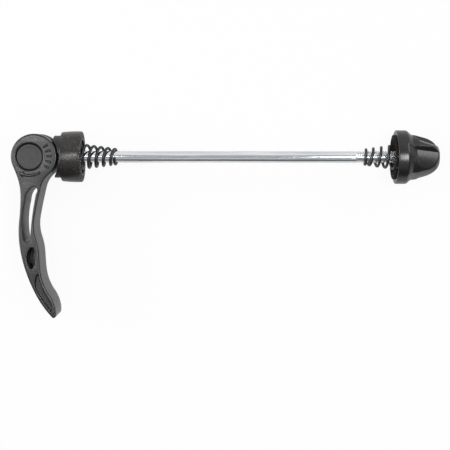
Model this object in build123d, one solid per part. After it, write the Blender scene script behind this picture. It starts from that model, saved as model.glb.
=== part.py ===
from build123d import *
import os
from math import cos, radians, sin, tan

# Quick release skewer for a rear wheel: a rod with an eccentric cam lever at one end and a fluted
# adjusting nut at the other. X runs along the rod from the lever to the nut, the lever swings in the
# XY plane with its arm towards -Y, and Z is up. The origin is on the rod's axis, in the plane of the
# lever cap's clamping face. All sizes are in millimetres.

# Rod
GRIP_LENGTH = 129.7  # between the two clamping faces
SHANK_RADIUS = 2.4
THREAD_RADIUS = 2.5  # outside of the M5 thread, which is rolled to a larger size than the shank
THREAD_LENGTH = 31.8
ROD_TIP_CHAMFER = 0.6
ROD_TIP_RECESS = 2.8  # how far the rod's tip lies inside the nut's nose
ROD_CLEARANCE = 0.25  # round the rod in every plain hole that slides along it
SCREWED_CLEARANCE = 0.02  # between two threads that are screwed home

# Lever cap
CAP_LENGTH = 8.7
CAP_FRONT_RADIUS = 10.65
CAP_BACK_RADIUS = 10.25
CAP_BACK_CHAMFER = 0.8
CAP_FRONT_ROUND = 1.8  # of the front rim, turned in two steps
CAP_RECESS_RADIUS = 7.2  # holds the lever spring's wide end
CAP_RECESS_DEPTH = 3.0

# Serrations on both clamping faces: V grooves from a plain inner ring to the edge
CAP_GROOVE_COUNT = 26
CORE_GROOVE_COUNT = 24
GROOVE_DEPTH = 0.5
GROOVE_HALF_WIDTH = 0.55
GROOVE_RING = 0.45  # width of the plain ring inside the grooves

# Cam saddle
SADDLE_RADIUS = 8.8
SADDLE_HEIGHT = 3.2  # from the cap's back to the tips of the horns
SADDLE_WEB = 0.65  # thickness left under the deepest point of the seat
SADDLE_CHAMFER = 0.8
SADDLE_SPIGOT_RADIUS = 7.0
SADDLE_SPIGOT_LENGTH = 3.0
SADDLE_NOTCH_WIDTH = 3.0
SADDLE_NOTCH_DEPTH = 1.0
SEAT_CLEARANCE = 0.05  # round the spigot in the cap

# Lever: a round cam eye, set off centre on its pivot, and a curved arm
CAM_RADIUS = 9.5
CAM_THROW = 1.8  # from the pivot to the eye's centre
CAM_GAP = 0.35  # between the eye and its seat when the lever is closed
SEAT_DRIFT = 0.05  # spare room for the eye's sideways travel
ARM_LENGTH = 66.6  # from the eye's centre to the end of the tip
LEVER_WIDTH = 17.5
LEVER_CHAMFER = 0.8
FORK_CLEARANCE = 0.6  # round the rod in the lever's fork
FORK_FLOOR = 3.2  # from the pivot down to the end of the fork
TIP_POCKET_DEPTH = 1.6

# Pivot barrel
BARREL_RADIUS = 5.4
BARREL_CLEARANCE = 0.05
BARREL_RECESS = 0.3  # below the lever's faces
BARREL_CHAMFER = 0.4
BARREL_MOUTH = 0.4  # chamfer of the lever's hole
ROD_SEAT_DEPTH = 4.0  # how far the rod is screwed in past the barrel's centre

# Springs, wound to the left, from the wide end to the narrow end
WIRE_RADIUS = 0.5
WIRE_SIDES = 6
BENDS_A_TURN = 16  # the wire runs straight between them
SPRING_WIDE_RADIUS = 5.3  # to the middle of the wire
SPRING_NARROW_RADIUS = 3.1
LEVER_SPRING_LENGTH = 17.4
LEVER_SPRING_TURNS = 5.5
LEVER_SPRING_START = 24.0  # angle of the wire's wide end, in degrees
NUT_SPRING_LENGTH = 16.1
NUT_SPRING_TURNS = 4.5
NUT_SPRING_START = 260.0

# Nut core: a serrated steel insert with a hexagonal boss
CORE_RADIUS = 9.3
CORE_PROUD = 1.0  # stands out of the cover
CORE_HOLLOW_RADIUS = 6.3  # holds the nut spring's wide end
CORE_HOLLOW_DEPTH = 4.0
CORE_FLOOR = 1.7
CORE_HEX_FLATS = 8.6
CORE_HEX_LENGTH = 7.5
CORE_CLEARANCE = 0.02  # round the insert in the cover
NUT_THREAD_CLEARANCE = 0.05  # between the nut's thread and the rod's

# Lock ring, behind the core's boss
RING_LENGTH = 2.5
RING_CLEARANCE = 0.05

# Nut cover: a flange and a fluted nose that tapers to a rounded end
COVER_LENGTH = 18.6
FLANGE_RADIUS = 11.25
FLANGE_LENGTH = 4.4
FLANGE_CHAMFER = 0.4
SHOULDER_LENGTH = 2.0  # the slope from the flange down to the nose
NOSE_RADIUS = 9.5  # at the foot of that slope
NOSE_TAPER = 10.5  # in degrees
DOME_LENGTH = 5.4
DOME_BULGE = 0.4  # how far the end's curve stands out of a straight cone
DOME_STEPS = 3  # cones that the curve is turned in
NOSE_END_RADIUS = 3.4
NOSE_HOLE_CLEARANCE = 0.3

# Flutes of the nut cover: a flat floor, a steep wall on one side and a sloped end at the flange
FLUTE_COUNT = 5
FLUTE_START = 9.2  # from the cover's face to the floor's beginning
FLUTE_FLOOR_RADIUS = 7.6  # from the axis to the floor, at its beginning
FLUTE_TILT = 19.0  # of the floor towards the nose, in degrees
FLUTE_TURN = 21.0  # of the first floor's normal from +Z towards +Y, in degrees
FLUTE_ROOT = 0.45  # from the middle of the floor to the foot of the wall
FLUTE_WALL_LEAN = 35.0  # of the wall from the floor's normal, in degrees
FLUTE_END_SLOPE = 48.0  # of the end from the floor, in degrees

# Places that follow from the sizes above
SEAT_X = -CAP_LENGTH - SADDLE_WEB
EYE_X = SEAT_X - CAM_GAP - CAM_RADIUS
PIVOT_X = EYE_X - CAM_THROW
ROD_START_X = PIVOT_X - ROD_SEAT_DEPTH
CORE_X = GRIP_LENGTH
HOLLOW_FLOOR_X = CORE_X + CORE_HOLLOW_DEPTH
CORE_BACK_X = HOLLOW_FLOOR_X + CORE_FLOOR
HEX_END_X = CORE_BACK_X + CORE_HEX_LENGTH
RING_END_X = HEX_END_X + RING_LENGTH
COVER_X = CORE_X + CORE_PROUD
COVER_END_X = COVER_X + COVER_LENGTH
ROD_TIP_X = COVER_END_X - ROD_TIP_RECESS
THREAD_X = ROD_TIP_X - THREAD_LENGTH
SLIDING_HOLE = SHANK_RADIUS + ROD_CLEARANCE
CUT = 30.0  # reach of a cutting tool that only has to pass right through

# Lever outline. Each point is an offset along X from the eye's centre and a share of the arm's length
# along -Y. The sides run through their points in arcs that are tangent to each other.
ARM_BACK = [
    (-6.9, 0.128), (-5.7, 0.245), (-6.35, 0.390), (-6.4, 0.541), (-4.2, 0.698),
    (0.1, 0.856),
]
ARM_FRONT = [
    (2.8, 0.188), (0, 0.383), (0.6, 0.511), (1.85, 0.616), (2.3, 0.713),
    (5.75, 0.856), (8.35, 0.955),
]
ARM_TIP = (8.0, 1.021)  # where both sides would meet
TIP_ROUND = 1.0
EYE_BACK_ANGLE = 203.6  # where the arm's back leaves the eye
EYE_FRONT_ANGLE = -50.0  # where the arm's front leaves the eye

# Openings of the arm and the recess of its tip. Every second point is a corner, and the point after it
# lies on the arc to the next corner.
ARM_WINDOW = [
    (0.3, 0.182), (-2.45, 0.212), (-3.95, 0.275), (-5.15, 0.402), (-4.65, 0.509),
    (-3.3, 0.532), (-1.85, 0.509), (-1.05, 0.383), (0.75, 0.228), (1.2, 0.197),
]
ARM_OVAL = [
    (-2.2, 0.575), (-1.15, 0.562), (-0.2, 0.575), (0.55, 0.626), (-0.6, 0.680),
    (-1.5, 0.697), (-2.4, 0.682), (-3.3, 0.628),
]
TIP_POCKET = [
    (1.2, 0.725), (0, 0.772), (0.35, 0.824), (2.9, 0.890), (6.7, 0.968),
    (7, 0.943), (6.3, 0.910), (3.35, 0.829),
]


def disc(radius, x_start, x_end):
    """A solid cylinder on the rod's axis, from one X to another."""
    return extrude(Plane.YZ.offset(x_start) * Circle(radius), x_end - x_start)


def turned(points):
    """A solid of revolution about the rod's axis, from (X, radius) corners that close on the axis."""
    return revolve(make_face(Polyline(*points, close=True)), Axis.X)


def on_arm(point):
    """A point in the XY plane, given as an offset from the eye's centre and a share of the arm's length."""
    return (EYE_X + point[0], -point[1] * ARM_LENGTH)


def arc_chain(start, direction, points):
    """Arcs through points of the arm, each tangent to the one before."""
    chain = []
    for point in points:
        arc = TangentArc(start, on_arm(point), tangent=direction)
        chain.append(arc)
        start, direction = arc @ 1, arc % 1
    return chain


def arc_loop(points):
    """A face bounded by arcs, from corners and the points between them that lie on the arcs."""
    ring = [on_arm(point) for point in points]
    ring.append(ring[0])
    return make_face([ThreePointArc(*ring[corner:corner + 3]) for corner in range(0, len(points), 2)])


def round_axis(tool, count):
    """Copies of a tool, spread evenly round the rod's axis."""
    return [Rot(X=360 / count * step) * tool for step in range(count)]


def grooves(count, face_x, facing, inner_radius):
    """V grooves for a clamping face that looks along +X or -X, from a radius outwards."""
    plane = Plane(origin=(face_x, 0, inner_radius), x_dir=(1, 0, 0), z_dir=(0, 0, 1))
    lip = facing * GROOVE_DEPTH  # the tool stands out of the face as far as it cuts into it
    lip_width = 2 * GROOVE_HALF_WIDTH
    section = Polygon((-lip, 0), (lip, lip_width), (lip, -lip_width), align=None)
    return round_axis(extrude(plane * section, CUT, dir=(0, 0, 1)), count)


def skewer_rod():
    """The rod, screwed into the barrel at one end and threaded for the nut at the other."""
    shank = disc(SHANK_RADIUS, ROD_START_X, THREAD_X)
    thread = disc(THREAD_RADIUS, THREAD_X, ROD_TIP_X)
    tip = thread.edges().filter_by(GeomType.CIRCLE).sort_by(Axis.X)[-1]
    return shank + chamfer(tip, ROD_TIP_CHAMFER)


def pivot_barrel():
    """The cross barrel that the lever turns on, with a blind hole for the rod."""
    length = LEVER_WIDTH - 2 * BARREL_RECESS
    barrel = Pos(PIVOT_X, 0, 0) * Cylinder(BARREL_RADIUS, length)
    barrel = chamfer(barrel.edges().filter_by(GeomType.CIRCLE), BARREL_CHAMFER)
    return barrel - disc(SHANK_RADIUS + SCREWED_CLEARANCE, ROD_START_X, PIVOT_X + CUT)


def lever_outline():
    """The lever's outline: most of the eye's circle, both sides of the arm and its rounded tip."""
    eye = CenterArc(on_arm((0, 0)), CAM_RADIUS, EYE_FRONT_ANGLE, EYE_BACK_ANGLE - EYE_FRONT_ANGLE)
    back = arc_chain(eye @ 1, eye % 1, ARM_BACK + [ARM_TIP])
    front = arc_chain(eye @ 0, -(eye % 0), ARM_FRONT + [ARM_TIP])
    outline = make_face([eye, *back, *front])
    return fillet(outline.vertices().sort_by(Axis.Y)[0], TIP_ROUND)


def lever_openings():
    """Tools for the arm's long window, its oval hole and the recess on each face of the tip."""
    through = [extrude(arc_loop(points), CUT, both=True) for points in (ARM_WINDOW, ARM_OVAL)]
    floor = LEVER_WIDTH / 2 - TIP_POCKET_DEPTH
    pocket = Pos(Z=floor) * extrude(arc_loop(TIP_POCKET), CUT)
    return through + [pocket, mirror(pocket, Plane.XY)]


def lever():
    """The lever: eye and arm in one casting, forked round the rod and bored for the barrel."""
    body = extrude(lever_outline(), LEVER_WIDTH / 2, both=True)
    faces = body.faces().sort_by(Axis.Z)
    body = chamfer(faces[0].edges() + faces[-1].edges(), LEVER_CHAMFER)
    hole_radius = BARREL_RADIUS + BARREL_CLEARANCE
    hole = Cylinder(hole_radius, 2 * CUT)
    mouth = Cone(hole_radius, hole_radius + BARREL_MOUTH, BARREL_MOUTH)
    mouth = Pos(Z=(LEVER_WIDTH - BARREL_MOUTH) / 2) * mouth
    bore = Pos(PIVOT_X, 0, 0) * (hole + mouth + mirror(mouth, Plane.XY))
    fork_width = 2 * (THREAD_RADIUS + FORK_CLEARANCE)
    fork = Pos(PIVOT_X, CUT / 2 - FORK_FLOOR, 0) * Box(2 * CUT, CUT, fork_width)
    return body - [bore, fork, *lever_openings()]


def cam_saddle():
    """The seat between the cam and the cap, relieved for the eye's sideways travel as it turns."""
    neck = disc(SADDLE_RADIUS, -CAP_LENGTH - SADDLE_HEIGHT, -CAP_LENGTH)
    rim = neck.edges().filter_by(GeomType.CIRCLE).sort_by(Axis.X)[0]
    spigot = disc(SADDLE_SPIGOT_RADIUS, -CAP_LENGTH, SADDLE_SPIGOT_LENGTH - CAP_LENGTH)
    body = chamfer(rim, SADDLE_CHAMFER) + spigot
    travel = CAM_THROW + SEAT_DRIFT
    seat = Pos(EYE_X, -travel / 2) * Rot(Z=90) * SlotCenterToCenter(travel, 2 * (CAM_RADIUS + CAM_GAP))
    notch = Box(SADDLE_WEB * 2, SADDLE_NOTCH_WIDTH, 2 * SADDLE_NOTCH_DEPTH)
    notches = [Pos(SEAT_X, 0, side * SADDLE_RADIUS) * notch for side in (1, -1)]
    hole = disc(SLIDING_HOLE, -CUT, CUT)
    return body - [extrude(seat, CUT, both=True), hole, *notches]


def lever_cap():
    """The clamping cap: a slightly tapered ring with a spring recess and a serrated face."""
    step = CAP_FRONT_ROUND * (1 - cos(radians(45)))
    cap = turned([
        (-CAP_LENGTH, 0),
        (-CAP_LENGTH, CAP_BACK_RADIUS - CAP_BACK_CHAMFER),
        (-CAP_LENGTH + CAP_BACK_CHAMFER, CAP_BACK_RADIUS),
        (-CAP_FRONT_ROUND, CAP_FRONT_RADIUS),
        (-step, CAP_FRONT_RADIUS - step),
        (0, CAP_FRONT_RADIUS - CAP_FRONT_ROUND),
        (0, 0),
    ])
    recess = disc(CAP_RECESS_RADIUS, -CAP_RECESS_DEPTH, CUT)
    socket = disc(SADDLE_SPIGOT_RADIUS + SEAT_CLEARANCE, -CUT, SADDLE_SPIGOT_LENGTH - CAP_LENGTH)
    hole = disc(SLIDING_HOLE, -CUT, CUT)
    teeth = grooves(CAP_GROOVE_COUNT, 0, 1, CAP_RECESS_RADIUS + GROOVE_RING)
    return cap - [recess, socket, hole, *teeth]


def conical_spring(length, turns):
    """A left-hand conical spring that stands on its wide end, along +Z."""
    rise = length - 2 * WIRE_RADIUS
    narrowing = SPRING_WIDE_RADIUS - SPRING_NARROW_RADIUS
    bends = round(turns * BENDS_A_TURN)
    points = []
    for bend in range(bends + 1):
        share = bend / bends
        outwards = Vector(SPRING_WIDE_RADIUS - share * narrowing, 0, WIRE_RADIUS + share * rise)
        points.append(outwards.rotate(Axis.Z, -360 * turns * share))
    path = Polyline(*points)
    section = Plane(origin=points[0], z_dir=points[1] - points[0]) * RegularPolygon(WIRE_RADIUS, WIRE_SIDES)
    return sweep(section, path, transition=Transition.RIGHT)


def lever_spring():
    """The lever end's spring, with its wide end on the floor of the cap's recess."""
    seat = Plane(origin=(-CAP_RECESS_DEPTH, 0, 0), x_dir=(0, 0, 1), z_dir=(1, 0, 0))
    return seat * Rot(Z=LEVER_SPRING_START) * conical_spring(LEVER_SPRING_LENGTH, LEVER_SPRING_TURNS)


def nut_spring():
    """The nut end's spring, with its wide end on the floor of the core's hollow."""
    seat = Plane(origin=(HOLLOW_FLOOR_X, 0, 0), x_dir=(0, 0, 1), z_dir=(-1, 0, 0))
    return seat * Rot(Z=NUT_SPRING_START) * conical_spring(NUT_SPRING_LENGTH, NUT_SPRING_TURNS)


def hexagon(flats, x_start, x_end):
    """A hexagonal bar on the rod's axis, given by its width across the flats."""
    section = Plane.YZ.offset(x_start) * RegularPolygon(flats / 2, 6, major_radius=False)
    return extrude(section, x_end - x_start)


def nut_core():
    """The nut's steel insert: a serrated ring with a hollow for the spring and a threaded boss."""
    body = disc(CORE_RADIUS, CORE_X, CORE_BACK_X) + hexagon(CORE_HEX_FLATS, CORE_BACK_X, HEX_END_X)
    hollow = disc(CORE_HOLLOW_RADIUS, CORE_X - CUT, HOLLOW_FLOOR_X)
    bore = disc(THREAD_RADIUS + NUT_THREAD_CLEARANCE, CORE_X, HEX_END_X + CUT)
    teeth = grooves(CORE_GROOVE_COUNT, CORE_X, -1, CORE_HOLLOW_RADIUS + GROOVE_RING)
    return body - [hollow, bore, *teeth]


def lock_ring():
    """The nylon ring behind the core's boss, which grips the thread."""
    ring = disc(CORE_HEX_FLATS / 2 - RING_CLEARANCE, HEX_END_X, RING_END_X)
    return ring - disc(THREAD_RADIUS + NUT_THREAD_CLEARANCE, HEX_END_X - CUT, RING_END_X + CUT)


def flute():
    """A tool for the first flute: a flat floor, a sloped end at the flange and a leaning wall."""
    run_out = CUT / tan(radians(FLUTE_END_SLOPE))
    section = Polygon((0, 0), (CUT, 0), (CUT, CUT), (-run_out, CUT), align=None)
    block = extrude(Plane.XZ * section, CUT, both=True)
    lean = radians(FLUTE_WALL_LEAN)
    wall = Plane(origin=(0, FLUTE_ROOT, 0), z_dir=(0, cos(lean), -sin(lean)))
    foot = Pos(COVER_X + FLUTE_START, 0, FLUTE_FLOOR_RADIUS)
    return Rot(X=-FLUTE_TURN) * foot * Rot(Y=FLUTE_TILT) * split(block, wall, keep=Keep.BOTTOM)


def nut_cover():
    """The nut's plastic grip: flange, fluted nose and a rounded end with a hole for the rod."""
    flange_end = COVER_X + FLANGE_LENGTH
    nose_start = flange_end + SHOULDER_LENGTH
    dome_start = COVER_END_X - DOME_LENGTH
    dome_radius = NOSE_RADIUS - (dome_start - nose_start) * tan(radians(NOSE_TAPER))
    middle = Vector(dome_start + COVER_END_X, dome_radius + NOSE_END_RADIUS) / 2
    bulge = Vector(dome_radius - NOSE_END_RADIUS, DOME_LENGTH).normalized() * DOME_BULGE
    dome = ThreePointArc((dome_start, dome_radius), middle + bulge, (COVER_END_X, NOSE_END_RADIUS))
    body = turned([
        (COVER_X, 0),
        (COVER_X, FLANGE_RADIUS - FLANGE_CHAMFER),
        (COVER_X + FLANGE_CHAMFER, FLANGE_RADIUS),
        (flange_end, FLANGE_RADIUS),
        (nose_start, NOSE_RADIUS),
        *[dome @ (step / DOME_STEPS) for step in range(DOME_STEPS + 1)],
        (COVER_END_X, 0),
    ])
    pocket = disc(CORE_RADIUS + CORE_CLEARANCE, COVER_X - CUT, CORE_BACK_X)
    hex_pocket = hexagon(CORE_HEX_FLATS + 2 * CORE_CLEARANCE, CORE_BACK_X, RING_END_X)
    hole = disc(THREAD_RADIUS + NOSE_HOLE_CLEARANCE, RING_END_X, COVER_END_X + CUT)
    return body - [pocket, hex_pocket, hole, *round_axis(flute(), FLUTE_COUNT)]


PIECES = [
    skewer_rod,
    pivot_barrel,
    lever,
    cam_saddle,
    lever_cap,
    lever_spring,
    nut_spring,
    nut_core,
    lock_ring,
    nut_cover,
]

os.makedirs("parts", exist_ok=True)
for piece in PIECES:
    export_step(piece(), f"parts/{piece.__name__}.step")
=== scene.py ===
"""A quick release skewer on a pale floor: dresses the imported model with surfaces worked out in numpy.

X runs along the rod from the lever to the nut, the lever's arm points to -Y and Z is up. Sizes are in
millimetres, and angles that are stored are in degrees, until a mesh is made.
"""
import logging
from dataclasses import dataclass, field
from enum import Enum
from math import acos, cos, pi, radians, sin, tan

import bmesh
import bpy
import numpy as np
from mathutils import Matrix
from mathutils.geometry import tessellate_polygon


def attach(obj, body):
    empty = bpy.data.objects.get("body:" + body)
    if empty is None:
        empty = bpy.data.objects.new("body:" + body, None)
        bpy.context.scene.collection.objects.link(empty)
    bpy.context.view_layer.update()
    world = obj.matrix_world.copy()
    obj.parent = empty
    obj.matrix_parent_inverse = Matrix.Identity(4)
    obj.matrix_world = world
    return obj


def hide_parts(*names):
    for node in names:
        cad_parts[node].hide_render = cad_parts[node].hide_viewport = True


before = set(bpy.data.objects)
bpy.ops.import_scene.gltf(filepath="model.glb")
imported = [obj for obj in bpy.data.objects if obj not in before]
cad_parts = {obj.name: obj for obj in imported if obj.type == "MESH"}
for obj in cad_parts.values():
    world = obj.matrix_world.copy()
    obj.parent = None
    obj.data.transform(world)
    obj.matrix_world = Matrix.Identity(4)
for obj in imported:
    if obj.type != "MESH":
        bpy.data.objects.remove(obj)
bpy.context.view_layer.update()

MM = 0.001
WELD_M = 2e-6  # points closer than this are welded
SLIVER_M = 1e-7  # edges shorter than this are taken out
TOUCH = 1e-6  # heights closer than this are the same
CORNER_STEPS = 6  # steps of each rounded corner of a profile
SIDE_SHARE = 0.48  # the most of a side that one corner's rounding takes
ROW_CUT = 0.02  # rounding of corners that only add rows to a flat face
EDGE_CUT = 0.2  # rounding of edges inside
FACE_ROWS = 6  # rows of a serrated face
GROOVE_COLUMNS = 8  # columns for each groove
GROOVE_FLARE = 1.1  # a groove's half width for its depth
GROOVE_RUN_IN = 0.3  # length over which a groove gets its full depth
MIX_A, MIX_B, MIX_RESULT = 6, 7, 2  # the Mix node's colour sockets
# Parts of a noise's range: where patches meet, where specks show, and where the gloss changes
PATCH_BAND = {"From Min": 0.35, "From Max": 0.68}
SPECK_BAND = {"From Min": 0.66, "From Max": 0.76, "To Max": 0.8}
GLOSS_BAND = {"From Min": 0.3, "From Max": 0.7}
PIVOT_X = -21.0  # of the lever
EYE_X = -19.2  # the eye's centre, which is off the pivot and makes the eye a cam
LEVER_HALF = 8.75  # half the lever's width
LOG = logging.getLogger("skewer")
Array = np.ndarray
Pair = tuple[float, float]
Points = list[Pair]
Place = tuple[float, float, float]


class Face(Enum):
    """The two flat sides of the lever, by the sign of their Z."""

    NEAR = 1
    FAR = -1


@dataclass
class Surface:
    """Points and polygons of one piece, collected patch by patch."""

    points: list[Array] = field(default_factory=list)
    polygons: list[list[int]] = field(default_factory=list)
    smooth: list[bool] = field(default_factory=list)
    count: int = 0

    def _add(self, points: Array, polygons: Array, smooth: bool) -> None:
        """Appends one patch, with its polygons' numbers counted on from the patches before it.

        Args:
            points: the patch's points.
            polygons: its polygons, as numbers of its points.
            smooth: whether they are shaded smooth.
        """
        self.points.append(points.reshape(-1, 3))
        self.polygons += (polygons + self.count).tolist()
        self.smooth += [smooth] * len(polygons)
        self.count += len(self.points[-1])

    def grid(self, points: Array, closed: bool = False, keep: Array | None = None) -> None:
        """Adds a grid as quads: cell (i, j) has the corners (i, j), (i, j+1), (i+1, j+1) and (i+1, j).

        Args:
            points: the grid, as rows by columns by 3.
            closed: whether the last column joins the first.
            keep: a flag for each cell, False where the surface is open.
        """
        rows, columns = points.shape[:2]
        number = np.arange(rows * columns).reshape(rows, columns)
        if closed:
            number = np.hstack([number, number[:, :1]])
        cells = np.stack([number[:-1, :-1], number[:-1, 1:], number[1:, 1:], number[1:, :-1]], axis=-1)
        cells = cells.reshape(-1, 4) if keep is None else cells[keep]
        self._add(points, cells, True)

    def fill(self, *loops: Array) -> None:
        """Adds a flat region: the first loop bounds it, and the others are holes in it."""
        triangles = np.array(tessellate_polygon([loop.tolist() for loop in loops]))
        self._add(np.vstack(loops), triangles, False)

    def piece(self, name: str, sharp_angle: float = 38.0) -> bpy.types.Object:
        """Makes the object: welds seams and poles, turns the faces outwards and marks hard edges.

        Args:
            name: the object's name.
            sharp_angle: the angle between two faces from which their edge is hard.

        Returns:
            The new object, at the origin.
        """
        mesh = bpy.data.meshes.new(name)
        mesh.from_pydata((np.vstack(self.points) * MM).tolist(), [], self.polygons)
        mesh.polygons.foreach_set("use_smooth", self.smooth)
        shell = bmesh.new()
        shell.from_mesh(mesh)
        bmesh.ops.remove_doubles(shell, verts=shell.verts, dist=WELD_M)
        bmesh.ops.dissolve_degenerate(shell, edges=shell.edges, dist=SLIVER_M)
        bmesh.ops.recalc_face_normals(shell, faces=shell.faces)
        shell.to_mesh(mesh)
        shell.free()
        mesh.set_sharp_from_angle(angle=radians(sharp_angle))
        made = bpy.data.objects.new(name, mesh)
        bpy.context.scene.collection.objects.link(made)
        return made


def wrapped(grid: Array) -> Surface:
    """The surface of one grid whose last column joins its first.

    Args:
        grid: the grid, as rows by columns by 3.

    Returns:
        The surface.
    """
    surface = Surface()
    surface.grid(grid, closed=True)
    return surface


def smooth_step(low: float, high: float, value: Array) -> Array:
    """Rises from 0 at low to 1 at high as 3t squared less 2t cubed."""
    t = np.clip((value - low) / (high - low), 0, 1)
    return t * t * (3 - 2 * t)


def soft_min(a: Array, b: Array | float, blend: float) -> Array:
    """The smaller of two values, with the crease between them rounded by a parabola over the blend."""
    h = np.clip(blend - np.abs(a - b), 0, None) / blend
    return np.minimum(a, b) - h * h * blend / 4


def soft_max(a: Array, b: Array | float, blend: float) -> Array:
    """The larger of two values, with the crease between them rounded as in soft_min."""
    return -soft_min(-a, -b, blend)


def soft_corners(corners: list[tuple[float, float, float]]) -> Array:
    """A closed profile with round corners: each becomes a parabola tangent to both of its sides.

    Args:
        corners: the corners in order, as x, radius and how far from the corner its parabola starts.

    Returns:
        The points of the profile, as n by 2.
    """
    table = np.array(corners, dtype=float)
    corner, cut = table[:, :2], table[:, 2:]
    sides = [np.roll(corner, shift, axis=0) - corner for shift in (1, -1)]
    lengths = [np.linalg.norm(side, axis=1, keepdims=True) for side in sides]
    start, end = (
        side / length * np.minimum(cut, SIDE_SHARE * length) for side, length in zip(sides, lengths)
    )
    t = np.linspace(0, 1, CORNER_STEPS + 1)[None, :, None]
    curve = corner[:, None] + (1 - t) ** 2 * start[:, None] + t**2 * end[:, None]
    return curve.reshape(-1, 2)


def spread(loop: Array, spacing: float) -> Array:
    """A closed outline with its points moved along it to even distances.

    Args:
        loop: the outline, as n by 2.
        spacing: the distance between two points.

    Returns:
        The outline's new points, as n by 2.
    """
    ring = np.vstack([loop, loop[:1]])
    run = np.concatenate([[0], np.cumsum(np.linalg.norm(np.diff(ring, axis=0), axis=1))])
    steps = np.linspace(0, run[-1], int(run[-1] / spacing) + 1)[:-1]
    return np.stack([np.interp(steps, run, ring[:, 0]), np.interp(steps, run, ring[:, 1])], axis=1)


def around(count: int) -> Array:
    """Evenly spread angles of a full turn, in radians."""
    return np.arange(count) * 2 * pi / count


def spin(x: Array, radius: Array, angles: Array) -> Array:
    """Points round the X axis: (x, radius cos a, radius sin a).

    Args:
        x: a column of places along the axis.
        radius: a column of radii, or a grid with one for each angle.
        angles: the angles of the grid's columns, in radians.

    Returns:
        The grid, as rows by columns by 3.
    """
    y, z = radius * np.cos(angles), radius * np.sin(angles)
    return np.stack([np.broadcast_to(x, y.shape), y, z], axis=-1)


def turn(profile: Array, angles: Array) -> Array:
    """Carries an (x, radius) profile round the X axis."""
    return spin(profile[:, :1], profile[:, 1:], angles)


def closed_rows(grid: Array) -> Array:
    """The grid with its first row again as its last, which closes a turned ring."""
    return np.concatenate([grid, grid[:1]])


def serrate(grid: Array, face_x: float, facing: int, count: int, inner: float, depth: float) -> Array:
    """Cuts V grooves into a turned face: x stays behind planes that rise on both sides of each groove.

    Args:
        grid: the turned grid.
        face_x: where the face lies.
        facing: 1 where the face looks along +X, -1 where it looks along -X.
        count: the number of grooves.
        inner: the radius from which the grooves run outwards.
        depth: how deep they are.

    Returns:
        The grid with its grooves.
    """
    radius = np.hypot(grid[..., 1], grid[..., 2])
    angle = np.arctan2(grid[..., 2], grid[..., 1])
    pitch = 2 * pi / count
    off = np.abs(radius * np.sin((angle + pitch / 2) % pitch - pitch / 2))
    share = np.clip(1 - off / (GROOVE_FLARE * depth), 0, 1)
    floor = facing * face_x - depth * share * smooth_step(inner, inner + GROOVE_RUN_IN, radius)
    cut = grid.copy()
    cut[..., 0] = np.where(radius > inner, facing * np.minimum(facing * grid[..., 0], floor), grid[..., 0])
    return cut


def linear(colour: str) -> tuple[float, float, float, float]:
    """Turns an sRGB colour into a linear one.

    Args:
        colour: the colour as a hex value.

    Returns:
        Its linear red, green and blue, and full alpha.
    """
    value = np.array([int(colour[i:i + 2], 16) for i in (1, 3, 5)]) / 255
    red, green, blue = np.where(value <= 0.04045, value / 12.92, ((value + 0.055) / 1.055) ** 2.4).tolist()
    return red, green, blue, 1.0


def add_node(
    tree: bpy.types.NodeTree, kind: str, settings: dict | None = None, links: dict | None = None,
) -> bpy.types.Node:
    """Adds a node with its settings and links.

    Args:
        tree: the tree that the node goes into.
        kind: the node's type.
        settings: values by the name or number of an input, or by the name of a property.
        links: sockets by the name or number of the input that they feed.

    Returns:
        The new node.
    """
    made = tree.nodes.new(kind)
    for name, value in (settings or {}).items():
        if isinstance(name, int) or name in made.inputs:
            made.inputs[name].default_value = value
        else:
            setattr(made, name, value)
    for name, socket in (links or {}).items():
        tree.links.new(socket, made.inputs[name])
    return made


def empty_tree(owner: bpy.types.Material | bpy.types.World) -> bpy.types.NodeTree:
    """Switches a material or world to nodes, and takes out the ones that it starts with.

    Args:
        owner: the material or world.

    Returns:
        Its empty node tree.
    """
    owner.use_nodes = True
    owner.node_tree.nodes.clear()
    return owner.node_tree


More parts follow.
